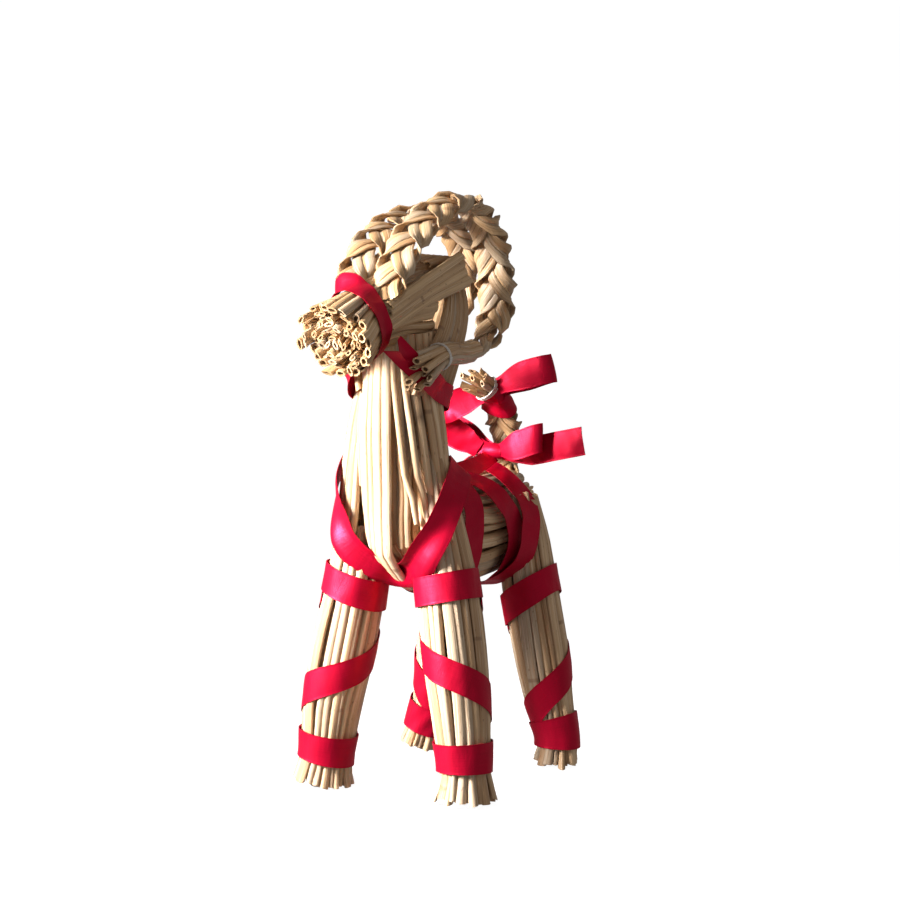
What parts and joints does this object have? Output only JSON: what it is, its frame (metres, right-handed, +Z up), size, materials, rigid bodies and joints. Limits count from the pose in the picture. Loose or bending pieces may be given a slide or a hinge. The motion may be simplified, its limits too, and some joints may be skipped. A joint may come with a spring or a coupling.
{
  "type": "straw goat ornament",
  "caption": "Standing goat of bound straw bundles, with plaited horns curving back over the head, an upright plaited tail, and satin ribbon wound round its legs and body.",
  "frame": {"origin": "on the ground under the middle of the goat's bounding box", "axes": "+Z up, -Y the way the goat faces, +X the goat's own left"},
  "size_m": [0.098, 0.1526, 0.2619],
  "materials": {
    "neck_straw": "dry pale straw, semi-matt",
    "leg_straw": "dry straw, semi-matt",
    "plaited_straw": "flattened straw with a slight sheen",
    "red_satin": "satin ribbon",
    "white_thread": "thin cotton thread"
  },
  "bodies": {
    "root": {"torso_and_neck": "neck_straw", "head": "plaited_straw", "front_left_leg": "leg_straw", "front_right_leg": "leg_straw", "rear_left_leg": "leg_straw", "rear_right_leg": "leg_straw", "left_horn": "plaited_straw", "right_horn": "plaited_straw", "tail": "plaited_straw", "muzzle_ribbon": "red_satin", "harness_ribbon": "red_satin", "back_bow": "red_satin", "tail_ribbon": "red_satin", "front_left_leg_ribbon": "red_satin", "front_right_leg_ribbon": "red_satin", "rear_left_leg_ribbon": "red_satin", "rear_right_leg_ribbon": "red_satin", "left_horn_thread": "white_thread", "right_horn_thread": "white_thread", "tail_thread": "white_thread"}
  },
  "joints": []
}
